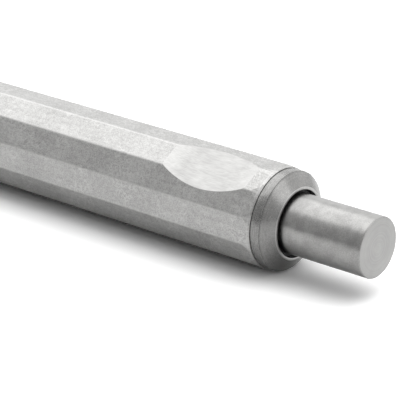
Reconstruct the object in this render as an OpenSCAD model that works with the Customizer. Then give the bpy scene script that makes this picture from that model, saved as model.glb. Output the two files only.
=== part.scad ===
// Pushbutton ballpoint pen with a twelve-sided metal barrel, lying on one flat.
// The pen's axis runs along X, with the button towards +X and the tip drawn in.
// Stations along the pen are counted from the mouth of the nose towards the button.

/* [Barrel] */
// Width of the barrel from flat to flat
barrel_af = 11; // [10.8:0.1:12.5]
// Number of flats round the barrel
flats = 12; // [8:2:12]
// Amount taken off each corner between two flats, along the radius
corner_break = 0.045; // [0.02:0.005:0.08]
// Length of the turned chamfer that cuts the corners at each end
barrel_chamfer_l = 1.1; // [0.6:0.1:1.6]
// Step from the flats in to the circle where the chamfer ends
barrel_end_step = 0.02; // [0.01:0.01:0.06]
// Step from the barrel's end circle in to the nose and the ring that meet it
meeting_step = 0.06; // [0.04:0.01:0.1]
// Length of the shallow thumb scoop milled in one flat
scoop_l = 11.1; // [8:0.1:13]
// Depth of the scoop at its middle
scoop_depth = 0.7; // [0.3:0.05:0.8]
// Distance from the barrel's end to the scoop
scoop_from_end = 1.9; // [1.5:0.1:4]
// Flat that carries the scoop, counted from the top one
scoop_flat = 1; // [0:1:3]

/* [Nose] */
// Length of the nose in front of the barrel
nose_l = 26; // [24:0.5:30]
// Diameter of the nose at its mouth
mouth_d = 3.5; // [3.3:0.1:4]
// Break of the mouth's outer edge
mouth_break = 0.2; // [0.1:0.05:0.3]
// Length of the close bore that guides the refill's point
mouth_guide_l = 3.2; // [2:0.1:3.4]
// Station of the step that the return spring stands on
spring_seat_s = 7; // [6.4:0.1:8]
// Width of the spring chamber beyond the spring, all round
chamber_gap = 0.4; // [0.3:0.05:0.45]
// Length of the nose's threaded spigot in the barrel
nose_spigot_l = 8; // [6:0.5:10]
// Clear length of the barrel's wide bore beyond the spigot
spigot_run_out = 0.7; // [0.5:0.1:1]
// Thickness of the barrel's wall round the spigot
spigot_cover = 0.78; // [0.7:0.02:0.9]
// Thickness of the seal ring on the spigot
nose_seal_t = 0.6; // [0.5:0.05:0.7]
// Distance from the nose's shoulder to its seal ring
nose_seal_from = 1.2; // [0.8:0.1:2]

/* [Button and end cap] */
// Diameter of the button
button_d = 6.55; // [6.2:0.05:6.8]
// Length of the button that stands out at rest
button_out = 9.96; // [8:0.1:12]
// Break of the button's outer edge
button_break = 0.16; // [0.1:0.02:0.3]
// Width of the dark gap between the button and the cap's mouth
mouth_gap = 0.38; // [0.2:0.02:0.42]
// Thickness of the flange that stops the button
flange_t = 1.2; // [0.8:0.1:1.6]
// Distance that the flange stands out from the button
flange_reach = 0.52; // [0.45:0.01:0.6]
// Length of the plain ring between the barrel and the cap
ring_l = 1.14; // [0.9:0.01:1.3]
// Amount that the ring narrows over its length, along the radius
ring_taper = 0.02; // [0.01:0.01:0.1]
// Length of the cap's bevel
cap_l = 1.15; // [1.1:0.01:1.3]
// Length of the lip that closes the cap over its bush
lip_l = 0.84; // [0.6:0.02:1]
// Width of the turned lip round the cap's mouth
lip_w = 0.26; // [0.2:0.02:0.3]
// Thickness of the seal ring under the plain ring
end_seal_t = 0.5; // [0.4:0.02:0.6]
// Length of the bush that guides the button
bush_l = 2.3; // [2:0.1:3]
// Break of the small turned edges
edge_break = 0.05; // [0.03:0.01:0.08]

/* [Click mechanism] */
// Full travel of the button
stroke = 6.4; // [6.2:0.1:7]
// Travel at which the rotor catches and holds the refill out
latch_travel = 4.6; // [4:0.1:4.6]
// Number of fins on the rotor, each with a groove of its own
fins = 4; // [3:1:4]
// Slope of the saw teeth, in degrees
cam_slope = 34; // [26:1:34]
// Diameter of the toothed crowns
cam_d = 5.3; // [5.1:0.1:5.5]
// Distance that the fins stand out from the crowns
fin_reach = 0.7; // [0.5:0.05:0.8]
// Width of a fin
fin_w = 1; // [0.8:0.05:1.2]
// Length of a rotor fin in front of the middle of its teeth
rotor_fin_l = 3.3; // [2:0.1:3.6]
// Length of a plunger fin
plunger_fin_l = 5; // [3:0.5:7]
// Distance from the plunger's teeth to its fins
plunger_fin_from = 1.6; // [1.4:0.1:2.4]
// Length of the rotor in front of the middle of its teeth
rotor_l = 8.7; // [8:0.1:10]
// Length of the rotor's thin end, which pushes the refill
rotor_stub_l = 3.2; // [2:0.1:3.4]
// Diameter of the rotor's thin end
rotor_stub_d = 4; // [3.4:0.1:4.4]
// Diameter of the pilot pin between plunger and rotor
pilot_d = 2.5; // [2:0.1:3]
// Length of the pilot pin in front of the teeth
pilot_l = 4.6; // [3:0.1:5]
// Length of the ribbed cam guide
guide_l = 17.9; // [15:0.1:20]
// Length of the guide's plain skirt in front of its ribs
guide_skirt_l = 1.8; // [1:0.1:3]
// Wall of the cam guide behind its grooves
guide_wall = 0.48; // [0.4:0.02:0.6]
// Wall of the mechanism's tube
housing_wall = 0.3; // [0.25:0.01:0.35]
// Length of the tube in front of the cam guide
housing_front_l = 4.4; // [4.2:0.1:6]
// Length of the ring that keeps the rotor in the tube
keeper_l = 1; // [0.8:0.1:1.2]
// Diameter of the plunger's stem in the button
stem_d = 4; // [3:0.1:4.6]
// Length of the stem in the button
stem_l = 10.2; // [6:0.1:11]

/* [Refill and spring] */
// Length of the refill
refill_l = 98.1; // [95:0.1:107]
// Diameter of the refill
refill_d = 5.9; // [5.6:0.05:6]
// Distance that the point is drawn in behind the mouth
point_in = 1.6; // [1:0.1:2]
// Diameter of the writing ball
ball_d = 1; // [0.7:0.1:1.2]
// Height of the socket's lip beyond the middle of the ball
socket_lip = 0.28; // [0.1:0.02:0.3]
// Wall of the socket at its lip
socket_wall = 0.14; // [0.1:0.02:0.2]
// Diameter of the point behind its cone
point_d = 2.34; // [2.2:0.02:2.4]
// Length of the point's cone
point_cone_l = 3.2; // [2.6:0.1:4]
// Length of the point in front of the neck
point_l = 8.5; // [8.4:0.1:9]
// Length of the point's shank in the neck
shank_l = 3; // [2:0.5:4]
// Wall of the neck round the shank
neck_wall = 0.5; // [0.4:0.02:0.6]
// Diameter of the refill's neck
neck_d = 3.2; // [3:0.05:3.3]
// Distance from the ball to the shoulder that the spring presses
shoulder_from = 18.4; // [17.5:0.1:22]
// Height of the shoulder's cone
shoulder_l = 1.5; // [1:0.1:2]
// Length of the neck's foot in the refill's tube
neck_foot_l = 4; // [3:0.5:5]
// Wall of the refill's tube
refill_wall = 0.3; // [0.2:0.02:0.35]
// Diameter of the ink channel
ink_d = 0.6; // [0.4:0.1:0.6]
// Length of the float that follows the ink
float_l = 3; // [2:0.5:4]
// Distance from the float to the plug
float_from_plug = 4; // [2:0.5:20]
// Length of the plug's head behind the tube
plug_l = 7.1; // [6:0.1:8]
// Length of the plug's foot in the tube
plug_foot_l = 4; // [3:0.5:5]
// Number of slots in the plug's crown
plug_slots = 3; // [2:1:4]
// Width of a slot in the plug's crown
plug_slot_w = 0.9; // [0.6:0.1:1.2]
// Depth of a slot in the plug's crown
plug_slot_l = 2.2; // [1.5:0.1:3]
// Thickness of the spring's wire
wire_d = 0.36; // [0.3:0.02:0.4]
// Diameter of the spring to the middle of its wire
spring_d = 4.2; // [4.1:0.02:4.3]
// Number of the spring's turns
spring_turns = 9; // [7:1:10]
// Gap between the spring's first two turns, and its last two
spring_end_gap = 0.45; // [0.42:0.01:0.6]

/* [Hidden] */
$fn = 96;

// Clearances along the radius: pieces that stay put, pieces that slide, and the ball in its socket
fit_gap = 0.02;
slide_gap = 0.1;
bush_gap = 0.05;
ball_gap = 0.03;
// Clearance along the pen between faces that meet and part
face_gap = 0.1;
// Clearance between a fin and each side of its groove
groove_gap = 0.15;
// Clearance between the barrel's bore and the mechanism's tube, along the radius
housing_gap = 0.05;
// Clearance round the refill where it only passes through, along the radius
pass_gap = 0.25;
// Overrun of every cut
over = 0.2;

// Radii of the mechanism, from the crowns out to the barrel's bore
cam_r = cam_d / 2;
fin_r = cam_r + fin_reach;
rib_bore_r = cam_r + slide_gap;
groove_r = fin_r + slide_gap;
guide_r = groove_r + guide_wall;
housing_bore_r = guide_r + fit_gap;
housing_r = housing_bore_r + housing_wall;
barrel_bore_r = housing_r + housing_gap;
keeper_bore_r = refill_d / 2 + slide_gap;

// The barrel's section
flat_r = barrel_af / 2;
sharp_r = flat_r / cos(180 / flats);
corner_r = sharp_r - corner_break;
end_r = flat_r - barrel_end_step;
meeting_r = end_r - meeting_step;
scoop_r = (pow(scoop_l / 2, 2) + pow(scoop_depth, 2)) / (2 * scoop_depth);

// The saw teeth: every groove is two teeth from the next
teeth = 2 * fins;
tooth_turn = 360 / teeth;
// Share of a tooth that the plunger's crown is ahead of the rotor's, which is what turns the rotor
cam_lead_share = 0.5;
cam_lead = cam_lead_share * tooth_turn;
cam_lift = 2 * cam_r * tan(cam_slope) * sin(cam_lead / 2);
fin_tooth_half = fin_r * sin(tooth_turn / 2) * tan(cam_slope);
// Angles from the middle of a fin or a groove to the upright wall of its tooth
wall_lead = 2;
fin_turn = asin(fin_w / 2 / cam_r) + wall_lead;
groove_w = fin_w + 2 * groove_gap;
groove_turn = asin(groove_w / 2 / groove_r);

// Stations, from the mouth of the nose
refill_end_s = point_in + refill_l;
rotor_s = refill_end_s + face_gap;
rotor_teeth_s = rotor_s + rotor_l;
plunger_teeth_s = rotor_teeth_s + cam_lift + face_gap;
rib_teeth_s = rotor_teeth_s - latch_travel;
guide_s = rib_teeth_s - fin_tooth_half - guide_skirt_l;
guide_end_s = guide_s + guide_l;
housing_s = guide_s - housing_front_l;
flange_s = guide_end_s + stroke + face_gap;
bush_s = flange_s + flange_t + face_gap;
bush_end_s = bush_s + bush_l;
cap_end_s = bush_end_s + lip_l;
cap_s = cap_end_s - cap_l;
barrel_end_s = cap_s - ring_l;
barrel_l = barrel_end_s - nose_l;
pen_l = cap_end_s + button_out;
button_l = pen_l - flange_s;

// Radii of the end cap and of the ring under it
ring_end_r = meeting_r - ring_taper;
cap_mouth_r = button_d / 2 + mouth_gap;
end_seal_r = housing_r + fit_gap + end_seal_t / 2;

// The nose's curve runs level where it meets the barrel
nose_rise = meeting_r - mouth_d / 2;
nose_curve_r = (pow(nose_l, 2) + pow(nose_rise, 2)) / (2 * nose_rise);
spigot_bore_r = flat_r - spigot_cover;
spigot_r = spigot_bore_r - fit_gap;
nose_seal_r = spigot_r - nose_seal_t / 2;
mouth_bore_r = point_d / 2 + slide_gap;
neck_way_r = neck_d / 2 + pass_gap;
chamber_r = spring_d / 2 + wire_d / 2 + chamber_gap;
refill_way_r = refill_d / 2 + pass_gap;
// The wide bore starts just in front of the refill's shoulder with the button fully down
refill_way_s = point_in + shoulder_from - stroke - face_gap;

// The refill, from the front of its ball
refill_bore_r = refill_d / 2 - refill_wall;
foot_r = refill_bore_r - fit_gap;
shank_r = neck_d / 2 - neck_wall;
tube_from = shoulder_from + shoulder_l;
tube_end_from = refill_l - plug_l;
lip_from = ball_d / 2 - socket_lip;
socket_r = ball_d / 2 + ball_gap;

// The return spring stands on the nose's step and presses the refill's shoulder
spring_s = spring_seat_s + bush_gap;
spring_l = point_in + shoulder_from - spring_seat_s - 2 * bush_gap;
spring_rings = 8;
spring_sides = 6;
end_rise = wire_d + spring_end_gap;
inner_rise = (spring_l - wire_d - 2 * end_rise) / (spring_turns - 2);

// Colours, as bare metal, brass, moulded plastic and rubber look
metal = "#b3b2af";
turned_metal = "#9f9e9b";
brass = "#b79a5a";
white_plastic = "#e2e0d8";
grey_plastic = "#6d7073";
rubber = "#232323";
steel = "#c4c5c7";

// Lays a piece built upright on its stations along the X axis, on the lowest flat
module lay() {
    translate([-pen_l / 2, 0, flat_r])
        rotate([0, 90, 0])
            children();
}

// A cylinder from one station to another
module rod(r, from, to) {
    translate([0, 0, from])
        cylinder(r = r, h = to - from);
}

// A tube from one station to another
module tube(r, bore_r, from, to) {
    difference() {
        rod(r, from, to);
        rod(bore_r, from - over, to + over);
    }
}

// A ring of round section
module seal(r, thickness, at) {
    translate([0, 0, at])
        rotate_extrude()
            translate([r, 0])
                circle(d = thickness, $fn = 32);
}

// The barrel's outline: flats cut on a round bar, which leaves narrow round corners
module flat_section() {
    intersection() {
        rotate(180 / flats)
            circle(r = sharp_r, $fn = flats);
        circle(r = corner_r);
    }
}

// The space in front of (side = -1) or behind (side = 1) a ring of sloping tooth faces, round a core.
// Each slope's wedge runs on past the upright wall on the side where the next wedge has cut already.
module beyond_teeth(side, reach, wall_turn) {
    core = pilot_d / 4;
    low = tan(side > 0 ? tooth_turn / 2 : 3 * tooth_turn / 4);
    high = tan(side > 0 ? 3 * tooth_turn / 4 : tooth_turn / 2);
    for (i = [0 : teeth - 1])
        rotate(wall_turn + (i + 1 / 2) * tooth_turn)
            intersection() {
                linear_extrude(4 * reach, center = true)
                    polygon([
                        [core, -core * low],
                        [2 * reach, -2 * reach * low],
                        [2 * reach, 2 * reach * high],
                        [core, core * high]
                    ]);
                rotate([cam_slope, 0, 0])
                    translate([0, -2 * reach, side > 0 ? 0 : -2 * reach])
                        cube([4 * reach, 4 * reach, 2 * reach]);
            }
}

// Radial fins of the rotor and the plunger, from one station to another
module fin_set(from, to) {
    for (i = [0 : fins - 1])
        rotate(i * 360 / fins)
            intersection() {
                translate([0, -fin_w / 2, from])
                    cube([2 * fin_r, fin_w, to - from]);
                rod(fin_r, from - over, to + over);
            }
}

// The twelve-sided tube, with its chamfered ends and the thumb scoop
module barrel() {
    color(metal) lay() difference() {
        intersection() {
            translate([0, 0, nose_l])
                linear_extrude(barrel_l)
                    flat_section();
            translate([0, 0, nose_l])
                rotate_extrude()
                    polygon([
                        [0, 0],
                        [end_r, 0],
                        [sharp_r, barrel_chamfer_l],
                        [sharp_r, barrel_l - barrel_chamfer_l],
                        [end_r, barrel_l],
                        [0, barrel_l]
                    ]);
        }
        rod(barrel_bore_r, nose_l - over, barrel_end_s + over);
        rod(spigot_bore_r, nose_l - over, nose_l + nose_spigot_l + spigot_run_out);
        rod(end_seal_r + end_seal_t / 2 + fit_gap, barrel_end_s - end_seal_t - fit_gap, barrel_end_s + over);
        rotate(180 + scoop_flat * 360 / flats)
            translate([flat_r - scoop_depth + scoop_r, 0, barrel_end_s - scoop_from_end - scoop_l / 2])
                rotate([90, 0, 0])
                    cylinder(r = scoop_r, h = barrel_af, center = true, $fn = 240);
    }
}

// The turned nose: a long curve outside, and stepped bores for the point, the neck and the spring
module nose_cone() {
    color(metal) lay() difference() {
        union() {
            rotate_extrude()
                difference() {
                    intersection() {
                        square([meeting_r, nose_l]);
                        translate([meeting_r - nose_curve_r, nose_l])
                            circle(r = nose_curve_r, $fn = 720);
                    }
                    translate([mouth_d / 2, 0])
                        rotate(45)
                            square(mouth_break * sqrt(2), center = true);
                }
            rod(spigot_r, nose_l, nose_l + nose_spigot_l);
        }
        rod(mouth_bore_r, -over, spring_seat_s);
        rod(neck_way_r, mouth_guide_l, spring_seat_s + over);
        rod(chamber_r, spring_seat_s, refill_way_s + over);
        rod(refill_way_r, refill_way_s, nose_l + nose_spigot_l + over);
        tube(spigot_r + over, nose_seal_r - nose_seal_t / 2 - fit_gap,
             nose_l + nose_seal_from, nose_l + nose_seal_from + nose_seal_t + 2 * fit_gap);
    }
}

module nose_seal_ring() {
    color(rubber) lay()
        seal(nose_seal_r, nose_seal_t, nose_l + nose_seal_from + fit_gap + nose_seal_t / 2);
}

// The plain ring clamped between the barrel and the cap
module collar_ring() {
    color(turned_metal) lay()
        translate([0, 0, barrel_end_s])
            rotate_extrude()
                polygon([
                    [housing_r + fit_gap, 0],
                    [meeting_r - edge_break, 0],
                    [meeting_r, edge_break],
                    [ring_end_r, ring_l - edge_break],
                    [ring_end_r - edge_break, ring_l],
                    [housing_r + fit_gap, ring_l]
                ]);
}

module end_seal_ring() {
    color(rubber) lay()
        seal(end_seal_r, end_seal_t, barrel_end_s - end_seal_t / 2);
}

// The bevelled cap, screwed on the mechanism's tube, with a turned lip at its mouth
module end_cap() {
    color(turned_metal) lay()
        translate([0, 0, cap_s])
            rotate_extrude()
                polygon([
                    [housing_r + fit_gap, 0],
                    [ring_end_r - edge_break, 0],
                    [ring_end_r, edge_break],
                    [cap_mouth_r + lip_w, cap_l],
                    [cap_mouth_r + edge_break, cap_l],
                    [cap_mouth_r, cap_l - edge_break],
                    [cap_mouth_r, cap_l - lip_l],
                    [housing_r + fit_gap, cap_l - lip_l]
                ]);
}

module button_bush() {
    color(grey_plastic) lay()
        tube(housing_bore_r - fit_gap, button_d / 2 + bush_gap, bush_s, bush_end_s);
}

module mechanism_housing() {
    color(brass) lay()
        tube(housing_r, housing_bore_r, housing_s, bush_end_s);
}

// The fixed sleeve: ribs with sloping ends, and grooves between them for the fins
module cam_guide() {
    color(white_plastic) lay() {
        tube(guide_r, groove_r, guide_s, guide_end_s);
        difference() {
            tube(groove_r + guide_wall / 2, rib_bore_r, guide_s, guide_end_s);
            for (i = [0 : fins - 1])
                rotate(i * 360 / fins)
                    translate([0, -groove_w / 2, guide_s - over])
                        cube([groove_r, groove_w, guide_l + 2 * over]);
            translate([0, 0, rib_teeth_s])
                intersection() {
                    beyond_teeth(-1, guide_r, groove_turn);
                    rod(groove_r, guide_s - rib_teeth_s - over, fin_tooth_half + over);
                }
        }
    }
}

module keeper_ring() {
    color(steel) lay()
        tube(housing_bore_r - fit_gap, keeper_bore_r, housing_s, housing_s + keeper_l);
}

// The pushbutton: a solid-ended sleeve with a stop flange inside the tube
module button() {
    color(metal) lay() difference() {
        translate([0, 0, flange_s])
            rotate_extrude()
                polygon([
                    [0, 0],
                    [button_d / 2 + flange_reach, 0],
                    [button_d / 2 + flange_reach, flange_t],
                    [button_d / 2, flange_t],
                    [button_d / 2, button_l - button_break],
                    [button_d / 2 - button_break, button_l],
                    [0, button_l]
                ]);
        rod(stem_d / 2 + fit_gap, flange_s - over, flange_s + stem_l + face_gap);
    }
}

// The cam driver: a toothed crown with fins, a pilot pin and a stem pressed into the button
module plunger() {
    color(grey_plastic) lay() {
        difference() {
            union() {
                rod(cam_r, plunger_teeth_s - fin_tooth_half, flange_s);
                fin_set(plunger_teeth_s + plunger_fin_from,
                        plunger_teeth_s + plunger_fin_from + plunger_fin_l);
            }
            translate([0, 0, plunger_teeth_s])
                beyond_teeth(-1, fin_r, fin_turn + cam_lead);
        }
        rod(pilot_d / 2, plunger_teeth_s - pilot_l, plunger_teeth_s + plunger_fin_from);
        rod(stem_d / 2, flange_s - plunger_fin_from, flange_s + stem_l);
    }
}

// The rotor: a toothed crown whose every second tooth runs out into a fin
module rotor() {
    color(white_plastic) lay() difference() {
        union() {
            rod(rotor_stub_d / 2, rotor_s, rotor_s + rotor_stub_l);
            rod(cam_r, rotor_s + rotor_stub_l, rotor_teeth_s + fin_tooth_half);
            fin_set(rotor_teeth_s - rotor_fin_l, rotor_teeth_s + fin_tooth_half);
        }
        translate([0, 0, rotor_teeth_s])
            beyond_teeth(1, fin_r, fin_turn);
        rod(pilot_d / 2 + slide_gap,
            plunger_teeth_s - pilot_l - face_gap,
            rotor_teeth_s + fin_tooth_half + over);
    }
}

// Height of the wire's middle above the spring's seat, after a number of turns
function wire_rise(turn) = wire_d / 2 + end_rise * min(turn, 1)
    + inner_rise * max(0, min(turn, spring_turns - 1) - 1)
    + end_rise * max(0, turn - spring_turns + 1);
function wire_point(turn) = [
    spring_d / 2 * cos(360 * turn),
    spring_d / 2 * sin(360 * turn),
    spring_s + wire_rise(turn)
];
spring_path = [for (i = [0 : spring_turns * spring_rings]) wire_point(i / spring_rings)];
// Points of the wire's surface: each ring stands on the line from the axis through the wire's middle
wire_surface = [
    for (i = [0 : spring_turns * spring_rings])
        let (turn = 360 * i / spring_rings)
            for (k = [0 : spring_sides - 1])
                let (side = 360 * k / spring_sides)
                    spring_path[i] + wire_d / 2 * [
                        cos(side) * cos(turn),
                        cos(side) * sin(turn),
                        sin(side)
                    ]
];
spring_gaps = [
    for (i = [0 : len(spring_path) - 1])
        for (j = [i + spring_rings / 2 : len(spring_path) - 1])
            norm(spring_path[i] - spring_path[j]) - wire_d
];
echo(str("return spring: least gap between its turns ", min(spring_gaps), " mm"));

// The compression spring round the refill's neck, one unbroken helix of wire
module return_spring() {
    last = spring_turns * spring_rings;
    color(steel) lay()
        polyhedron(
            points = wire_surface,
            faces = concat(
                [[for (k = [0 : spring_sides - 1]) k]],
                [[for (k = [0 : spring_sides - 1]) last * spring_sides + spring_sides - 1 - k]],
                [
                    for (i = [0 : last - 1])
                        for (k = [0 : spring_sides - 1])
                            let (n = (k + 1) % spring_sides, a = i * spring_sides, b = a + spring_sides)
                                each [[a + k, b + k, b + n], [a + k, b + n, a + n]]
                ]
            )
        );
}

// Places a piece of the refill, built from the front of its ball
module in_pen() {
    lay()
        translate([0, 0, point_in])
            children();
}

// The writing point: a turned cone with the ball's socket and the ink channel
module refill_point() {
    color(brass) in_pen() difference() {
        rotate_extrude()
            polygon([
                [0, lip_from],
                [ball_d / 2 + socket_wall, lip_from],
                [point_d / 2, point_cone_l],
                [point_d / 2, point_l],
                [shank_r, point_l],
                [shank_r, point_l + shank_l],
                [0, point_l + shank_l]
            ]);
        translate([0, 0, ball_d / 2])
            sphere(r = socket_r);
        rod(ink_d / 2, ball_d / 2, point_l + shank_l + over);
    }
}

module writing_ball() {
    color(steel) in_pen()
        translate([0, 0, ball_d / 2])
            sphere(d = ball_d);
}

// The neck that carries the point, with the shoulder for the spring and a foot in the tube
module refill_neck() {
    color(brass) in_pen() difference() {
        rotate_extrude()
            polygon([
                [0, point_l],
                [neck_d / 2, point_l],
                [neck_d / 2, shoulder_from],
                [foot_r, shoulder_from],
                [refill_d / 2, shoulder_from + shoulder_l / 2],
                [refill_d / 2, tube_from],
                [foot_r, tube_from],
                [foot_r, tube_from + neck_foot_l],
                [0, tube_from + neck_foot_l]
            ]);
        rod(shank_r + fit_gap, point_l - over, point_l + shank_l + fit_gap);
        rod(shank_r - neck_wall / 2, point_l, tube_from + neck_foot_l + over);
    }
}

module refill_tube() {
    color(steel) in_pen()
        tube(refill_d / 2, refill_bore_r, tube_from, tube_end_from);
}

module ink_float() {
    color(grey_plastic) in_pen()
        rod(refill_bore_r - bush_gap,
            tube_end_from - plug_foot_l - float_from_plug - float_l,
            tube_end_from - plug_foot_l - float_from_plug);
}

// The moulded plug with a slotted crown that the rotor pushes
module refill_plug() {
    color(grey_plastic) in_pen() difference() {
        union() {
            rod(foot_r, tube_end_from - plug_foot_l, tube_end_from);
            rod(refill_d / 2, tube_end_from, refill_l);
        }
        rod(shank_r, refill_l - plug_slot_l, refill_l + over);
        for (i = [0 : plug_slots - 1])
            rotate(i * 180 / plug_slots)
                translate([-refill_d, -plug_slot_w / 2, refill_l - plug_slot_l])
                    cube([2 * refill_d, plug_slot_w, plug_slot_l + over]);
    }
}

barrel();
nose_cone();
nose_seal_ring();
collar_ring();
end_seal_ring();
end_cap();
button_bush();
mechanism_housing();
cam_guide();
keeper_ring();
button();
plunger();
rotor();
return_spring();
refill_point();
writing_ball();
refill_neck();
refill_tube();
ink_float();
refill_plug();
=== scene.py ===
import math

import bpy
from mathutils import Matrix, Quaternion, Vector


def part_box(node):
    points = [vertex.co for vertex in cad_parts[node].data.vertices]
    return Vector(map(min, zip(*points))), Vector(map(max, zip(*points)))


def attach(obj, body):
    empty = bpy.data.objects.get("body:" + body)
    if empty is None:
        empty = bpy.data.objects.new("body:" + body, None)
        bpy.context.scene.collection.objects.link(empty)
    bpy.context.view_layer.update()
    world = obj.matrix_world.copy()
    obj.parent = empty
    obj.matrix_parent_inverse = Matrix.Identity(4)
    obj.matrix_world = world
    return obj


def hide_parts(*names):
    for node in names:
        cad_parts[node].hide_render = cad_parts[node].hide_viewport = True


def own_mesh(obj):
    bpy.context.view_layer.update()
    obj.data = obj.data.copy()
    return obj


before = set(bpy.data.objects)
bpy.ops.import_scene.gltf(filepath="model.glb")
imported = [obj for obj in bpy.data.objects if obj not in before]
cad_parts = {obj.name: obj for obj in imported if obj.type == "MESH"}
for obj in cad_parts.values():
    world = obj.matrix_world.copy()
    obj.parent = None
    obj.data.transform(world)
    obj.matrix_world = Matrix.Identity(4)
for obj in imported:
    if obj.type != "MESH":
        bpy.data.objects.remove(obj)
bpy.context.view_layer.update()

# The camera looks down at the button end from its front right, through a long lens.
# Its place follows from how the twelve flats and the round end run in the picture.
mm = 0.001
camera_place = (184.94 * mm, -169.35 * mm, 88.39 * mm)
looks_along = Vector((-0.5905, 0.7236, -0.3574))
camera_roll = math.radians(0.9)
camera_data = bpy.data.cameras.new("camera")
camera_data.sensor_width = 36
camera_data.lens = 196.3
camera = bpy.data.objects.new("camera", camera_data)
bpy.context.scene.collection.objects.link(camera)
bpy.context.scene.camera = camera
camera.location = camera_place
camera_turn = looks_along.to_track_quat("-Z", "Y") @ Quaternion((0, 0, 1), camera_roll)
camera.rotation_euler = camera_turn.to_euler()

# A plain white table that runs on past the picture's edges. The camera and the metal see it
# whiter than the light that it throws back, so the shadow under the pen stays deep.
bpy.context.scene.view_settings.view_transform = "Standard"
table_size = 6.0
table_drop = 0.01 * mm
table_white = 0.8
whiter_to_camera = 0.4
whiter_to_metal = 0.26
darker_to_bounces = 0.6
metal_rays = ["Is Glossy Ray", "Is Transmission Ray"]


def add_node(tree, kind, inputs=None, **settings):
    """One shader node, with its settings, and with values or links on the sockets named in inputs."""
    made = tree.nodes.new(kind)
    for name, value in settings.items():
        setattr(made, name, value)
    for socket, value in (inputs or {}).items():
        if isinstance(value, bpy.types.NodeSocket):
            tree.links.new(value, made.inputs[socket])
        else:
            made.inputs[socket].default_value = value
    return made


def math_node(tree, operation, first, second=0.0, third=0.0):
    """One sum on up to three values."""
    values = {0: first, 1: second, 2: third}
    return add_node(tree, "ShaderNodeMath", values, operation=operation).outputs[0]


def seen_by_rays(tree, kinds):
    """1 for the named kinds of ray and 0 for the rest, so that only they see something."""
    path = add_node(tree, "ShaderNodeLightPath")
    total = path.outputs[kinds[0]]
    for kind in kinds[1:]:
        total = math_node(tree, "MAXIMUM", total, path.outputs[kind])
    return total


def after_bounce(tree):
    """1 for light that has come off something matt on its way, and 0 for the rest."""
    bounces = add_node(tree, "ShaderNodeLightPath").outputs["Diffuse Depth"]
    return math_node(tree, "MINIMUM", bounces, 1.0)


def empty_material(name):
    """A material with nothing in it but its output."""
    made = bpy.data.materials.new(name)
    made.use_nodes = True
    made.node_tree.nodes.clear()
    return made, made.node_tree, add_node(made.node_tree, "ShaderNodeOutputMaterial")


bpy.ops.object.select_all(action="DESELECT")
bpy.ops.mesh.primitive_plane_add(size=table_size, location=(0, 0, -table_drop))
table = bpy.context.object
table.name = "table"
table_finish, tree, output = empty_material("white_table")
by_camera = seen_by_rays(tree, ["Is Camera Ray"])
by_metal = seen_by_rays(tree, metal_rays)
whiteness = math_node(tree, "MULTIPLY_ADD", by_camera, whiter_to_camera, table_white)
whiteness = math_node(tree, "MULTIPLY_ADD", by_metal, whiter_to_metal, whiteness)
whiteness = math_node(tree, "MULTIPLY_ADD", after_bounce(tree), -darker_to_bounces, whiteness)
table_colour = add_node(
    tree, "ShaderNodeCombineColor", {0: whiteness, 1: whiteness, 2: whiteness}
).outputs[0]
matt = add_node(tree, "ShaderNodeBsdfDiffuse", {"Color": table_colour})
tree.links.new(matt.outputs[0], output.inputs["Surface"])
table.data.materials.append(table_finish)

# Soft studio light: a white room, brighter behind the pen than in front of it. It lights the
# table from above and a little from the right, and two broad soft lamps give the metal its
# highlights.
room_light = 1.11
light_from_behind = 0.6
light_at_horizon = 0.61
light_with_height = 1.3
height_of_full_light = 0.3
overhead_light = 2.8
overhead_focus = 4.0
overhead_back = 0.25
overhead_up = 0.97
light_from_right = 1.2
stray_light = 0.06
loss_after_bounce = 0.7
lamps_aim = Vector((45 * mm, 0, 5 * mm))

world = bpy.data.worlds.new("white_room")
bpy.context.scene.world = world
world.use_nodes = True
tree = world.node_tree
tree.nodes.clear()
toward = add_node(tree, "ShaderNodeTexCoord").outputs["Generated"]
side, back, up = add_node(tree, "ShaderNodeSeparateXYZ", {"Vector": toward}).outputs

above = math_node(tree, "MAXIMUM", up, 0.0)
height = math_node(tree, "MINIMUM", above, height_of_full_light)
by_height = math_node(tree, "MULTIPLY_ADD", height, light_with_height, light_at_horizon)
by_side = math_node(tree, "MULTIPLY_ADD", back, light_from_behind, room_light)
direct = math_node(tree, "MULTIPLY_ADD", after_bounce(tree), -loss_after_bounce, 1.0)
on_metal = math_node(tree, "MULTIPLY", by_side, by_height)
on_metal = math_node(tree, "MULTIPLY", on_metal, seen_by_rays(tree, metal_rays))
on_metal = math_node(tree, "MULTIPLY", on_metal, direct)

overhead = math_node(tree, "MULTIPLY", up, overhead_up)
overhead = math_node(tree, "MULTIPLY_ADD", back, overhead_back, overhead)
overhead = math_node(tree, "POWER", math_node(tree, "MAXIMUM", overhead, 0.0), overhead_focus)
right = math_node(tree, "MAXIMUM", side, 0.0)
on_matt = math_node(tree, "MULTIPLY_ADD", right, light_from_right, stray_light)
on_matt = math_node(tree, "MULTIPLY_ADD", overhead, overhead_light, on_matt)
on_matt = math_node(tree, "MULTIPLY", on_matt, seen_by_rays(tree, ["Is Diffuse Ray"]))

room_seen = math_node(tree, "ADD", on_metal, on_matt)
room_seen = math_node(tree, "ADD", room_seen, seen_by_rays(tree, ["Is Camera Ray"]))
room = add_node(tree, "ShaderNodeBackground", {"Color": (1, 1, 1, 1), "Strength": room_seen})
add_node(tree, "ShaderNodeOutputWorld", {"Surface": room.outputs[0]})


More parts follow.
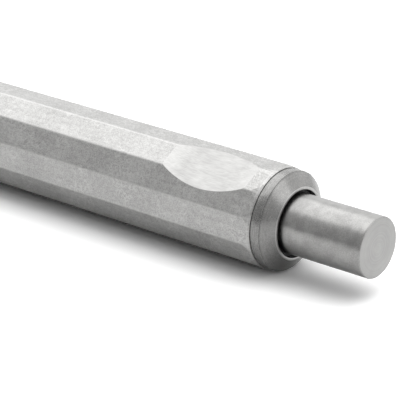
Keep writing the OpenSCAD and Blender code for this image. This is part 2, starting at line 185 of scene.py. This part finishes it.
def soft_lamp(name, azimuth, elevation, distance, size, strength):
    """A square lamp that faces the pen's button end from that side and looks that bright."""
    data = bpy.data.lights.new(name, "AREA")
    data.size = size
    data.energy = strength * math.pi * size * size
    lamp = bpy.data.objects.new(name, data)
    bpy.context.scene.collection.objects.link(lamp)
    a = math.radians(azimuth)
    e = math.radians(elevation)
    away = Vector((math.cos(e) * math.cos(a), math.cos(e) * math.sin(a), math.sin(e)))
    lamp.location = away * distance + lamps_aim
    lamp.rotation_euler = away.to_track_quat("Z", "Y").to_euler()
    lamp.visible_camera = False
    lamp.visible_diffuse = False


soft_lamp("lamp_overhead", azimuth=170, elevation=60, distance=0.9, size=1.0, strength=1.25)
soft_lamp("lamp_right", azimuth=15, elevation=38, distance=0.9, size=0.5, strength=1.2)

# The refill: a hard steel ball in a turned brass point, a brass neck, a drawn steel tube
# with the float that follows the ink, and a moulded plug that the mechanism pushes on.
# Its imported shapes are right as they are, so they stay and get their finishes here.
axis_height = (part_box("barrel")[1].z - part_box("barrel")[0].z) / 2
brass = {"dark": (0.48, 0.35, 0.13), "light": (0.62, 0.47, 0.2)}
bright_brass = {"dark": (0.5, 0.36, 0.13), "light": (0.66, 0.5, 0.22)}
ball_steel = {"dark": (0.52, 0.52, 0.53), "light": (0.62, 0.62, 0.63)}
tube_steel = {"dark": (0.48, 0.48, 0.485), "light": (0.6, 0.6, 0.61)}
float_grey = {"dark": (0.2, 0.2, 0.21), "light": (0.24, 0.24, 0.25)}
dark_grey = {"dark": (0.13, 0.135, 0.14), "light": (0.17, 0.175, 0.18)}


def mottle(tree, size, detail=2.0, roughness=0.5, stretch=(1, 1, 1), seed=0.0):
    """Uneven patches of about that size, from 0 to 1, drawn out along the pen's axes by stretch."""
    place = add_node(tree, "ShaderNodeTexCoord").outputs["Object"]
    scale = [1 / (size * s) for s in stretch]
    mapped = add_node(
        tree, "ShaderNodeMapping", {"Vector": place, "Location": (seed, seed, seed), "Scale": scale}
    ).outputs[0]
    return add_node(
        tree, "ShaderNodeTexNoise",
        {"Vector": mapped, "Scale": 1.0, "Detail": detail, "Roughness": roughness},
    ).outputs["Fac"]


def place_on_pen(tree):
    """How far each point of a surface lies along the pen, across it and up from the table."""
    place = add_node(tree, "ShaderNodeTexCoord").outputs["Object"]
    return add_node(tree, "ShaderNodeSeparateXYZ", {"Vector": place}).outputs


def turning_marks(tree, pitch):
    """Fine rings round the pen's axis, from 0 to 1, as a lathe leaves them on any turned face."""
    along, across, up = place_on_pen(tree)
    above = math_node(tree, "SUBTRACT", up, axis_height)
    above_squared = math_node(tree, "MULTIPLY", above, above)
    out_squared = math_node(tree, "MULTIPLY_ADD", across, across, above_squared)
    out = math_node(tree, "SQRT", out_squared)
    rings = add_node(tree, "ShaderNodeCombineXYZ", {"X": along, "Y": out}).outputs[0]
    return add_node(
        tree, "ShaderNodeTexNoise",
        {"Vector": rings, "Scale": 1 / pitch, "Detail": 2.0, "Roughness": 0.6},
    ).outputs["Fac"]


def spread(tree, value, start=0.0, end=1.0, low=0.3, high=0.7):
    """Stretches values between low and high to run from start to end, and holds them there.
    Nearly all of a plain mottle lies between 0.3 and 0.7."""
    return add_node(
        tree, "ShaderNodeMapRange",
        {"Value": value, "From Min": low, "From Max": high, "To Min": start, "To Max": end},
    ).outputs[0]


def shade(tree, tone, dark, light):
    """A colour between dark and light, by a tone from 0 to 1."""
    ramp = add_node(tree, "ShaderNodeValToRGB", {"Fac": tone})
    ramp.color_ramp.elements[0].color = (*dark, 1)
    ramp.color_ramp.elements[1].color = (*light, 1)
    return ramp.outputs["Color"]


def surface(tree, output, colour, roughness, height, bump, depth=0.01 * mm, metallic=1.0):
    """A surface with that colour, roughness and relief, joined to the output."""
    relief = add_node(
        tree, "ShaderNodeBump", {"Strength": bump, "Distance": depth, "Height": height}
    ).outputs[0]
    made = add_node(
        tree, "ShaderNodeBsdfPrincipled",
        {"Base Color": colour, "Metallic": metallic, "Roughness": roughness, "Normal": relief},
    )
    tree.links.new(made.outputs[0], output.inputs["Surface"])


def turned_finish(name, dark, light, pitch, smoothest, dullest):
    """Turned metal that keeps its fine rings, between two tones of its own colour."""
    stain_size = 1.5 * mm
    stain_share = 0.6
    finish, tree, output = empty_material(name)
    rings = turning_marks(tree, pitch)
    stain = mottle(tree, stain_size, detail=3)
    tone = math_node(tree, "MULTIPLY_ADD", stain, stain_share, rings)
    colour = shade(tree, spread(tree, tone, low=0.55, high=1.05), dark, light)
    surface(tree, output, colour, spread(tree, rings, smoothest, dullest), rings, bump=0.3)
    return finish


def drawn_finish(name, dark, light, smoothest, dullest):
    """Drawn or polished metal, with faint lines along the pen."""
    line_width = 0.12 * mm
    stain_size = 2 * mm
    stain_share = 0.8
    finish, tree, output = empty_material(name)
    lines = mottle(tree, line_width, stretch=(60, 1, 1))
    stain = mottle(tree, stain_size, detail=3, stretch=(3, 1, 1))
    tone = math_node(tree, "MULTIPLY_ADD", stain, stain_share, lines)
    colour = shade(tree, spread(tree, tone, low=0.6, high=1.2), dark, light)
    surface(tree, output, colour, spread(tree, lines, smoothest, dullest), lines, bump=0.2)
    return finish


def moulded_plastic(name, dark, light, dullness):
    """Moulded plastic: an even colour, a faint cloudiness and the soft grain of the mould."""
    cloud_size = 2.5 * mm
    grain_size = 0.08 * mm
    finish, tree, output = empty_material(name)
    cloud = mottle(tree, cloud_size)
    grain = mottle(tree, grain_size)
    colour = shade(tree, spread(tree, cloud), dark, light)
    roughness = spread(tree, grain, dullness - 0.05, dullness + 0.05)
    surface(tree, output, colour, roughness, grain, bump=0.15, metallic=0.0)
    return finish


def finish_node(node, finish):
    """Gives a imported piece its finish."""
    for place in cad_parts[node].material_slots:
        place.material = finish


finish_node("writing_ball", drawn_finish("polished_ball", **ball_steel, smoothest=0.12, dullest=0.2))
finish_node(
    "refill_point",
    turned_finish("turned_brass", **bright_brass, pitch=0.09 * mm, smoothest=0.2, dullest=0.34),
)
finish_node(
    "refill_neck",
    turned_finish("brass_neck", **brass, pitch=0.12 * mm, smoothest=0.24, dullest=0.38),
)
finish_node("refill_tube", drawn_finish("drawn_steel", **tube_steel, smoothest=0.22, dullest=0.32))
finish_node("ink_float", moulded_plastic("float_plastic", **float_grey, dullness=0.5))
finish_node("refill_plug", moulded_plastic("plug_plastic", **dark_grey, dullness=0.42))

# The return spring: nine turns of steel wire, wound closer at both ends. It stands on the
# nose's step, and the refill's shoulder presses it shorter as the button goes in. The lines
# of its drawn wire run round the pen, as turning marks do.
wire = 0.36 * mm
wire_sides = 12
coil = 4.2 * mm
turns = 9
steps_a_turn = 36
gap_at_ends = 0.45 * mm
spring_low, spring_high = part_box("return_spring")
rise_at_ends = wire + gap_at_ends
rise_between = (spring_high.x - spring_low.x - wire - 2 * rise_at_ends) / (turns - 2)


def pick(piece):
    """Selects one piece alone, so that operators act on nothing else."""
    bpy.ops.object.select_all(action="DESELECT")
    bpy.context.view_layer.objects.active = piece
    piece.select_set(True)


def in_edit_mode(piece, picks="VERT"):
    """Opens one piece for editing, alone, to pick points, edges or faces."""
    pick(piece)
    bpy.ops.object.mode_set(mode="EDIT")
    bpy.ops.mesh.select_mode(type=picks)


def close_up(piece, within=0.0005 * mm):
    """Merges doubled points, fills the open ends and turns every face outwards."""
    bpy.ops.mesh.select_mode(type="VERT")
    bpy.ops.mesh.select_all(action="SELECT")
    bpy.ops.mesh.remove_doubles(threshold=within)
    bpy.ops.mesh.select_all(action="DESELECT")
    bpy.ops.mesh.select_mode(type="EDGE")
    bpy.ops.mesh.select_non_manifold()
    bpy.ops.mesh.edge_face_add()
    bpy.ops.mesh.select_mode(type="FACE")
    bpy.ops.mesh.select_all(action="SELECT")
    bpy.ops.mesh.normals_make_consistent(inside=False)
    bpy.ops.object.mode_set(mode="OBJECT")


def smooth(piece, angle):
    """Soft shading across edges flatter than the angle, in degrees."""
    pick(piece)
    bpy.ops.object.shade_smooth_by_angle(angle=math.radians(angle))


bpy.ops.object.select_all(action="DESELECT")
bpy.ops.mesh.primitive_circle_add(
    vertices=wire_sides,
    radius=wire / 2,
    location=(spring_low.x + wire / 2, 0, axis_height - coil / 2),
    rotation=(math.pi / 2, 0, 0),
)
spring = bpy.context.object
spring.name = spring.data.name = "wound_spring"
bpy.ops.object.transform_apply(location=True, rotation=True, scale=True)
in_edit_mode(spring)
bpy.ops.mesh.select_all(action="SELECT")
for step in range(turns * steps_a_turn):
    at_end = step < steps_a_turn or step >= (turns - 1) * steps_a_turn
    rise = (rise_at_ends if at_end else rise_between) / steps_a_turn
    bpy.ops.mesh.extrude_region_move(TRANSFORM_OT_translate={"value": (rise, 0, 0)})
    bpy.ops.transform.rotate(
        value=-2 * math.pi / steps_a_turn, orient_axis="X", center_override=(0, 0, axis_height)
    )
close_up(spring)
smooth(spring, angle=50)
spring.data.materials.append(
    turned_finish(
        "spring_wire", dark=(0.45, 0.45, 0.46), light=(0.6, 0.6, 0.61),
        pitch=0.2 * mm, smoothest=0.2, dullest=0.3,
    )
)
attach(spring, "casing")
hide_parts("return_spring")
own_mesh(spring)

# The nose: one turned piece in the barrel's steel, a long curve down to a narrow mouth.
# It guides the refill's point, holds the spring, and screws into the barrel on its spigot.
nose_low, nose_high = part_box("nose_cone")
barrel_low, barrel_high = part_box("barrel")
nose_sides = 192
nose_steps = 48
crowding = 1.3
nose_length = barrel_low.x - nose_low.x
meeting_radius = axis_height - 0.08 * mm
mouth_radius = 1.75 * mm
mouth_rounding = 0.2 * mm
fine_break = 0.04 * mm
hair = 0.01 * mm
point_bore = 1.27 * mm
neck_bore = 1.85 * mm
neck_bore_start = nose_low.x + 3.2 * mm
spring_bore = 2.68 * mm
spring_seat = nose_low.x + 7 * mm
refill_bore = 3.2 * mm
refill_bore_start = nose_low.x + 13.5 * mm
spigot_radius = axis_height - 0.8 * mm
groove_depth = 0.62 * mm
groove_start = barrel_low.x + 1.2 * mm
groove_end = groove_start + 0.64 * mm


def turned(name, stations, sides=160):
    """A piece as a lathe leaves it. A ring of points is drawn on from station to station,
    each (place along the pen, radius), and closed on the first ring or over its open ends."""
    bpy.ops.object.select_all(action="DESELECT")
    x, radius = stations[0]
    bpy.ops.mesh.primitive_circle_add(
        vertices=sides, radius=radius, location=(x, 0, axis_height), rotation=(0, math.pi / 2, 0)
    )
    piece = bpy.context.object
    piece.name = piece.data.name = name
    bpy.ops.object.transform_apply(location=True, rotation=True, scale=True)
    in_edit_mode(piece)
    bpy.ops.mesh.select_all(action="SELECT")
    for next_x, next_radius in stations[1:]:
        growth = next_radius / radius
        bpy.ops.mesh.extrude_region_move(TRANSFORM_OT_translate={"value": (next_x - x, 0, 0)})
        bpy.ops.transform.resize(value=(1, growth, growth), center_override=(next_x, 0, axis_height))
        x, radius = next_x, next_radius
    close_up(piece)
    return piece


def break_edges(piece, width, sharpness=30, where=None, segments=3):
    """Rounds a piece's sharp edges by that width, or only those whose middle passes the test."""
    in_edit_mode(piece, picks="EDGE")
    bpy.ops.mesh.select_all(action="DESELECT")
    bpy.ops.mesh.edges_select_sharp(sharpness=math.radians(sharpness))
    bpy.ops.object.mode_set(mode="OBJECT")
    for edge in piece.data.edges:
        one, two = (piece.data.vertices[k].co for k in edge.vertices)
        if where and edge.select and not where((one + two) / 2):
            edge.select = False
    in_edit_mode(piece, picks="EDGE")
    bpy.ops.mesh.bevel(offset=width, segments=segments, profile=0.5)
    bpy.ops.object.mode_set(mode="OBJECT")


def off_axis(point):
    """How far a point lies from the pen's axis."""
    return math.hypot(point.y, point.z - axis_height)


def distance_from(tree, value, middle):
    """How far a value is from that middle, either way."""
    return math_node(tree, "ABSOLUTE", math_node(tree, "SUBTRACT", value, middle))


def corner_sheen_and_wear(tree, sides, width):
    """1 along the corners of a bar with that many flats, fading to 0 over that share of a flat,
    where a painted highlight and wear lighten the corners.
    """
    across, up = place_on_pen(tree)[1:]
    angle = math_node(tree, "ARCTAN2", math_node(tree, "SUBTRACT", up, axis_height), across)
    in_flats = math_node(tree, "MULTIPLY_ADD", angle, sides / (2 * math.pi), sides)
    from_corner = distance_from(tree, math_node(tree, "FRACT", in_flats), 0.5)
    return spread(tree, from_corner, 1, 0, low=width / 4, high=width)


def rubbed_marks(tree):
    """1 on thin winding marks, in patches, where the stones of the drum have rubbed hardest."""
    mark_size = 0.8 * mm
    patch_size = 3 * mm
    winding = mottle(tree, mark_size, detail=3, seed=3.0)
    marks = spread(tree, distance_from(tree, winding, 0.5), 1, 0, low=0.008, high=0.03)
    patches = spread(tree, mottle(tree, patch_size, seed=7.0), low=0.52, high=0.6)
    return math_node(tree, "MULTIPLY", marks, patches)


def tumbled_metal(
    name, dark, light, dullness, relief,
    rings=0.0, drawn=0.0, sides=0, rim=None, cloud=5 * mm, cloudiness=0.2
):
    """Grey steel after the tumbling drum: fine flecks, soft blotches, clouds of that size and a
    dull shine, with the lathe's rings or the drawn bar's lines left in by that share. A faceted
    piece has rubbed marks and corners painted lighter, as painted highlight and wear, and a rim
    at that place along the pen painted lighter, as a painted highlight."""
    fleck_size = 0.12 * mm
    blotch_size = 0.5 * mm
    blotch_share = 0.35
    ring_pitch = 0.18 * mm
    line_width = 0.25 * mm
    corner_width = 0.06
    corner_sheen_and_wear_gain = 0.13
    mark_gain = 0.55
    rim_highlight_gain = 0.12
    darkest = 0.5 + cloudiness / 2
    lightest = 0.85 + cloudiness / 2
    finish, tree, output = empty_material(name)
    flecks = mottle(tree, fleck_size, roughness=0.6)
    blotches = mottle(tree, blotch_size)
    clouds = mottle(tree, cloud, detail=1)
    fine = math_node(tree, "MULTIPLY_ADD", blotches, blotch_share, flecks)
    if rings:
        fine = math_node(tree, "MULTIPLY_ADD", turning_marks(tree, ring_pitch), rings, fine)
        fine = math_node(tree, "SUBTRACT", fine, rings / 2)
    if drawn:
        lines = mottle(tree, line_width, stretch=(20, 1, 1))
        fine = math_node(tree, "MULTIPLY_ADD", lines, drawn, fine)
        fine = math_node(tree, "SUBTRACT", fine, drawn / 2)
    tone = math_node(tree, "MULTIPLY_ADD", clouds, cloudiness, fine)
    # Painted highlight and wear: the corners of the flats are painted lighter.
    if sides:
        corners = corner_sheen_and_wear(tree, sides, corner_width)
        tone = math_node(tree, "MULTIPLY_ADD", corners, corner_sheen_and_wear_gain, tone)
        tone = math_node(tree, "MULTIPLY_ADD", rubbed_marks(tree), mark_gain, tone)
    # Painted highlight: a thin band by the rim is painted lighter.
    if rim:
        from_rim = distance_from(tree, place_on_pen(tree)[0], rim)
        on_rim = spread(tree, from_rim, 1, 0, low=0.04 * mm, high=0.14 * mm)
        tone = math_node(tree, "MULTIPLY_ADD", on_rim, rim_highlight_gain, tone)
    colour = shade(tree, spread(tree, tone, low=darkest, high=lightest), dark, light)
    roughness = spread(tree, fine, dullness - 0.03, dullness + 0.03, low=0.4, high=0.95)
    surface(tree, output, colour, roughness, fine, bump=relief, depth=0.016 * mm)
    return finish


def moulded_rubber(name, dark, light, smoothest, dullest):
    """Black rubber with a faint grey bloom."""
    bloom_size = 0.5 * mm
    finish, tree, output = empty_material(name)
    bloom = mottle(tree, bloom_size, detail=3)
    roughness = spread(tree, bloom, smoothest, dullest)
    surface(tree, output, shade(tree, bloom, dark, light), roughness, bloom, bump=0.2, metallic=0.0)
    return finish


# The curve is an arc that runs level into the barrel. Its stations crowd together there.
nose_drop = meeting_radius - mouth_radius
nose_curve = (nose_length ** 2 + nose_drop ** 2) / (2 * nose_drop)
outside = []
for step in range(nose_steps + 1):
    back = nose_length * (1 - step / nose_steps) ** crowding
    radius = meeting_radius - nose_curve + math.sqrt(nose_curve ** 2 - back ** 2)
    outside.append((barrel_low.x - back, radius))
spigot = [
    (barrel_low.x, spigot_radius),
    (groove_start, spigot_radius),
    (groove_start, spigot_radius - groove_depth),
    (groove_end, spigot_radius - groove_depth),
    (groove_end, spigot_radius),
]
inside = [
    (nose_high.x, spigot_radius),
    (nose_high.x, refill_bore),
    (refill_bore_start, refill_bore),
    (refill_bore_start, spring_bore),
    (spring_seat, spring_bore),
    (spring_seat, neck_bore),
    (neck_bore_start, neck_bore),
    (neck_bore_start, point_bore),
    (nose_low.x, point_bore),
]
nose = turned("turned_nose", outside + spigot + inside + outside[:1], sides=nose_sides)
mouth_wall = (point_bore + mouth_radius) / 2
near_mouth = nose_low.x + 1 * mm
near_barrel = barrel_low.x - 0.1 * mm
break_edges(
    nose, mouth_rounding,
    where=lambda at: at.x < nose_low.x + hair and off_axis(at) > mouth_wall,
)
break_edges(
    nose, fine_break, sharpness=50,
    where=lambda at: at.x < near_mouth or at.x > near_barrel,
)
smooth(nose, angle=25)
nose.data.materials.append(
    tumbled_metal(
        "tumbled_nose", dark=(0.27, 0.268, 0.264), light=(0.47, 0.468, 0.461),
        dullness=0.42, relief=0.2, rings=0.35,
    )
)
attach(nose, "casing")
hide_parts("nose_cone")

seal_rubber = moulded_rubber(
    "seal_rubber", dark=(0.014, 0.014, 0.014), light=(0.03, 0.03, 0.03), smoothest=0.45, dullest=0.6
)
finish_node("nose_seal_ring", seal_rubber)

# The barrel: a steel tube milled to twelve flats, turned at both ends, with a shallow
# scoop for the thumb milled across one flat, then tumbled with stones to a grey mottle.
flats = 12
flat_radius = axis_height
corner_rounding = 0.185 * mm
chamfer_length = 1.1 * mm
chamfer_depth = 0.02 * mm
round_sides = 240
scoop_length = 11.1 * mm
scoop_depth = 0.7 * mm
scoop_from_end = 1.9 * mm
scoop_turn = math.radians(30)
scoop_sides = 512
spigot_clearance = 0.02 * mm
room_behind_spigot = 0.7 * mm
housing_clearance = 0.05 * mm
seal_width = 0.54 * mm
seal_depth = 0.52 * mm
rim_from_end = 0.3 * mm
past_end = 0.5 * mm
cutter_core = 2 * mm
barrel_length = barrel_high.x - barrel_low.x
barrel_middle = (barrel_low.x + barrel_high.x) / 2
housing_radius = (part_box("mechanism_housing")[1].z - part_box("mechanism_housing")[0].z) / 2
sharp_radius = flat_radius / math.cos(math.pi / flats)
end_radius = flat_radius - chamfer_depth


def apply_modifier(piece, kind, **settings):
    """Adds one modifier to a piece and applies it."""
    pick(piece)
    modifier = piece.modifiers.new(kind.lower(), kind)
    for name, value in settings.items():
        setattr(modifier, name, value)
    bpy.ops.object.modifier_apply(modifier=modifier.name)


def cut(piece, tool, operation="DIFFERENCE"):
    """Cuts a piece with another, and throws the cutter away."""
    apply_modifier(piece, "BOOLEAN", object=tool, operation=operation, solver="EXACT")
    bpy.data.objects.remove(tool)


def finish_faces(piece, finish, where):
    """Gives a piece one more finish, on the faces whose middle passes the test."""
    piece.data.materials.append(finish)
    for face in piece.data.polygons:
        if where(face.center):
            face.material_index = len(piece.data.materials) - 1


bpy.ops.object.select_all(action="DESELECT")
bpy.ops.mesh.primitive_cylinder_add(
    vertices=flats,
    radius=sharp_radius,
    depth=barrel_length,
    location=(barrel_middle, 0, axis_height),
    rotation=(0, math.pi / 2, 0),
)
barrel = bpy.context.object
barrel.name = barrel.data.name = "faceted_barrel"
bpy.ops.object.transform_apply(location=True, rotation=True, scale=True)
in_edit_mode(barrel)
bpy.ops.mesh.select_all(action="SELECT")
bpy.ops.transform.rotate(
    value=math.pi / flats, orient_axis="X", center_override=(barrel_middle, 0, axis_height)
)
bpy.ops.mesh.select_mode(type="EDGE")
bpy.ops.mesh.select_all(action="DESELECT")
bpy.ops.object.mode_set(mode="OBJECT")
for edge in barrel.data.edges:
    one, two = (barrel.data.vertices[k].co for k in edge.vertices)
    edge.select = abs(one.x - two.x) > barrel_length / 2
bpy.ops.object.mode_set(mode="EDIT")
bpy.ops.mesh.bevel(offset=corner_rounding, segments=4, profile=0.5)
bpy.ops.object.mode_set(mode="OBJECT")

cut(
    barrel,
    turned(
        "end_turning",
        [
            (barrel_low.x - past_end, cutter_core),
            (barrel_low.x - past_end, end_radius),
            (barrel_low.x, end_radius),
            (barrel_low.x + chamfer_length, sharp_radius),
            (barrel_low.x + chamfer_length, sharp_radius + past_end),
            (barrel_high.x - chamfer_length, sharp_radius + past_end),
            (barrel_high.x - chamfer_length, sharp_radius),
            (barrel_high.x, end_radius),
            (barrel_high.x + past_end, end_radius),
            (barrel_high.x + past_end, cutter_core),
        ],
        sides=round_sides,
    ),
    operation="INTERSECT",
)

spigot_bore = spigot_radius + spigot_clearance
spigot_bore_end = nose_high.x + room_behind_spigot
housing_bore = housing_radius + housing_clearance
seal_bore = housing_radius + seal_width
seal_seat = barrel_high.x - seal_depth
cut(
    barrel,
    turned(
        "bore",
        [
            (barrel_low.x - past_end, spigot_bore),
            (spigot_bore_end, spigot_bore),
            (spigot_bore_end, housing_bore),
            (seal_seat, housing_bore),
            (seal_seat, seal_bore),
            (barrel_high.x + past_end, seal_bore),
        ],
    ),
)

scoop_radius = ((scoop_length / 2) ** 2 + scoop_depth ** 2) / (2 * scoop_depth)
scoop_side = Vector((0, -math.sin(scoop_turn), math.cos(scoop_turn)))
scoop_place = Vector((barrel_high.x - scoop_from_end - scoop_length / 2, 0, axis_height))
scoop_centre = scoop_place + scoop_side * (flat_radius - scoop_depth + scoop_radius)
bpy.ops.object.select_all(action="DESELECT")
bpy.ops.mesh.primitive_cylinder_add(
    vertices=scoop_sides,
    radius=scoop_radius,
    depth=3 * flat_radius,
    location=scoop_centre,
    rotation=(scoop_turn - math.pi / 2, 0, 0),
)
scoop_cutter = bpy.context.object
bpy.ops.object.transform_apply(location=True, rotation=True, scale=True)
cut(barrel, scoop_cutter)
in_edit_mode(barrel)
close_up(barrel, within=0.002 * mm)
smooth(barrel, angle=9)
apply_modifier(barrel, "WEIGHTED_NORMAL", keep_sharp=True, weight=60)


def brushed_metal(name, dark, light):
    """The scoop's finish: a cutter's fine strokes along the pen, in soft patches, with the metal
    painted lighter towards both ends of the scoop, as a painted highlight."""
    stroke_width = 0.1 * mm
    patch_size = 0.7 * mm
    patch_share = 0.6
    end_highlight_gain = 0.45
    finish, tree, output = empty_material(name)
    strokes = mottle(tree, stroke_width, stretch=(14, 1, 1))
    patches = mottle(tree, patch_size, stretch=(2, 1, 1))
    from_middle = distance_from(tree, place_on_pen(tree)[0], scoop_place.x)
    # Painted highlight: the metal is painted lighter towards both ends of the scoop.
    end_highlight = spread(tree, from_middle, low=scoop_length * 0.3, high=scoop_length * 0.5)
    tone = math_node(tree, "MULTIPLY_ADD", patches, patch_share, strokes)
    tone = math_node(tree, "MULTIPLY_ADD", end_highlight, end_highlight_gain, tone)
    colour = shade(tree, spread(tree, tone, low=0.6, high=1.3), dark, light)
    roughness = spread(tree, strokes, 0.3, 0.4)
    surface(tree, output, colour, roughness, strokes, bump=0.5, depth=0.012 * mm)
    return finish


def in_scoop(point):
    """Whether a point lies on the hollow that the scoop's cutter left."""
    from_centre = point - scoop_centre
    reach = math.hypot(from_centre.x, from_centre.dot(scoop_side))
    return abs(reach - scoop_radius) < 0.003 * mm


# The barrel's finish paints its corners lighter, as painted highlight and wear, and its end rim
# lighter, as a painted highlight.
barrel.data.materials.append(
    tumbled_metal(
        "tumbled_barrel", dark=(0.29, 0.288, 0.283), light=(0.455, 0.453, 0.446),
        dullness=0.41, relief=0.3, drawn=0.2, sides=flats, rim=barrel_high.x - rim_from_end,
    )
)
scoop_finish = brushed_metal("brushed_scoop", dark=(0.31, 0.308, 0.303), light=(0.46, 0.458, 0.451))
finish_faces(barrel, scoop_finish, where=in_scoop)
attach(barrel, "casing")
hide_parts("barrel")

# The click mechanism: a thin brass tube pressed round a moulded cam guide, with the rotor
# and the plunger inside and a steel ring that keeps them in. It screws into the barrel.
guide_white = {"dark": (0.74, 0.73, 0.68), "light": (0.8, 0.79, 0.74)}
rotor_white = {"dark": (0.72, 0.71, 0.66), "light": (0.78, 0.77, 0.72)}
ring_steel = {"dark": (0.48, 0.48, 0.485), "light": (0.58, 0.58, 0.59)}
finish_node("mechanism_housing", drawn_finish("brass_tube", **brass, smoothest=0.24, dullest=0.36))
finish_node("cam_guide", moulded_plastic("natural_acetal", **guide_white, dullness=0.36))
finish_node("rotor", moulded_plastic("rotor_acetal", **rotor_white, dullness=0.36))
finish_node("plunger", moulded_plastic("plunger_plastic", **dark_grey, dullness=0.4))
finish_node("keeper_ring", drawn_finish("pressed_steel", **ring_steel, smoothest=0.22, dullest=0.34))

# The collar: a plain turned steel ring clamped between the barrel and the cap, over a
# rubber ring that keeps the joint tight. It is a hair narrower than the barrel.
collar_low, collar_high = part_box("collar_ring")
collar_rounding = 0.08 * mm
tube_fit = housing_radius + 0.02 * mm
collar_end_radius = meeting_radius - 0.02 * mm
in_wall = (tube_fit + collar_end_radius) / 2
collar = turned(
    "turned_collar",
    [
        (collar_low.x, tube_fit),
        (collar_low.x, meeting_radius),
        (collar_high.x, collar_end_radius),
        (collar_high.x, tube_fit),
        (collar_low.x, tube_fit),
    ],
    sides=round_sides,
)
break_edges(collar, collar_rounding, where=lambda at: off_axis(at) > in_wall)
smooth(collar, angle=35)
collar.data.materials.append(
    tumbled_metal(
        "tumbled_collar", dark=(0.17, 0.169, 0.166), light=(0.27, 0.268, 0.263),
        dullness=0.26, relief=0.25, rings=0.8,
    )
)
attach(collar, "casing")
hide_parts("collar_ring")
finish_node("end_seal_ring", seal_rubber)

# The button: a steel sleeve with a solid end, turned all over, with a flange inside that
# stops it. It slides in a moulded bush, and is pressed over the plunger's stem.
button_low, button_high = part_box("button")
button_radius = 3.275 * mm
button_rounding = 0.16 * mm
stem_bore = 2.02 * mm
stem_end = button_low.x + 10.3 * mm
middle_ring = 0.3 * mm
flange_radius = (button_high.z - button_low.z) / 2
flange_end = button_low.x + 1.2 * mm
bush_black = {"dark": (0.03, 0.03, 0.032), "light": (0.045, 0.045, 0.048)}
button = turned(
    "turned_button",
    [
        (stem_end, middle_ring),
        (stem_end, stem_bore),
        (button_low.x, stem_bore),
        (button_low.x, flange_radius),
        (flange_end, flange_radius),
        (flange_end, button_radius),
        (button_high.x, button_radius),
        (button_high.x, middle_ring),
    ],
    sides=round_sides,
)
near_face = button_high.x - 0.1 * mm
break_edges(
    button, button_rounding, segments=5,
    where=lambda at: at.x > near_face and off_axis(at) > button_radius / 2,
)
smooth(button, angle=35)
button.data.materials.append(
    tumbled_metal(
        "tumbled_button", dark=(0.25, 0.248, 0.244), light=(0.33, 0.328, 0.322),
        dullness=0.31, relief=0.05, rings=0.2, cloud=1.3 * mm, cloudiness=0.8,
    )
)
faced_end = turned_finish(
    "faced_button_end", dark=(0.315, 0.313, 0.309), light=(0.385, 0.383, 0.377),
    pitch=0.14 * mm, smoothest=0.28, dullest=0.36,
)
finish_faces(button, faced_end, where=lambda at: at.x > button_high.x - hair)
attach(button, "button")
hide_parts("button")
finish_node("button_bush", moulded_plastic("bush_plastic", **bush_black, dullness=0.5))

# The end cap: turned steel, screwed on the mechanism's tube, with a wide bevel and a small
# raised lip round the mouth that the button comes out of.
cap_low, cap_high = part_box("end_cap")
rim_rounding = 0.1 * mm
lip_rounding = 0.08 * mm
# How far back from the lip's front the painted highlight reaches.
lip_highlight_depth = 0.05 * mm
mouth = button_radius + 0.38 * mm
lip = mouth + 0.26 * mm
lip_base = cap_high.x - 0.84 * mm
cap = turned(
    "turned_cap",
    [
        (cap_low.x, tube_fit),
        (cap_low.x, collar_end_radius),
        (cap_high.x, lip),
        (cap_high.x, mouth),
        (lip_base, mouth),
        (lip_base, tube_fit),
        (cap_low.x, tube_fit),
    ],
    sides=round_sides,
)
near_collar = cap_low.x + 0.1 * mm
near_lip = cap_high.x - 0.1 * mm
break_edges(cap, rim_rounding, where=lambda at: at.x < near_collar and off_axis(at) > in_wall)
break_edges(cap, lip_rounding, where=lambda at: at.x > near_lip)
smooth(cap, angle=35)
cap.data.materials.append(
    tumbled_metal(
        "tumbled_cap", dark=(0.18, 0.179, 0.176), light=(0.25, 0.248, 0.243),
        dullness=0.25, relief=0.16, rings=0.5,
    )
)
# Painted highlight: the front of the raised lip gets a much lighter finish than the rest of the cap.
lip_highlight = turned_finish(
    "lip_highlight", dark=(0.36, 0.358, 0.354), light=(0.42, 0.418, 0.412),
    pitch=0.1 * mm, smoothest=0.28, dullest=0.36,
)
finish_faces(cap, lip_highlight, where=lambda at: at.x > cap_high.x - lip_highlight_depth)
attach(cap, "casing")
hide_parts("end_cap")
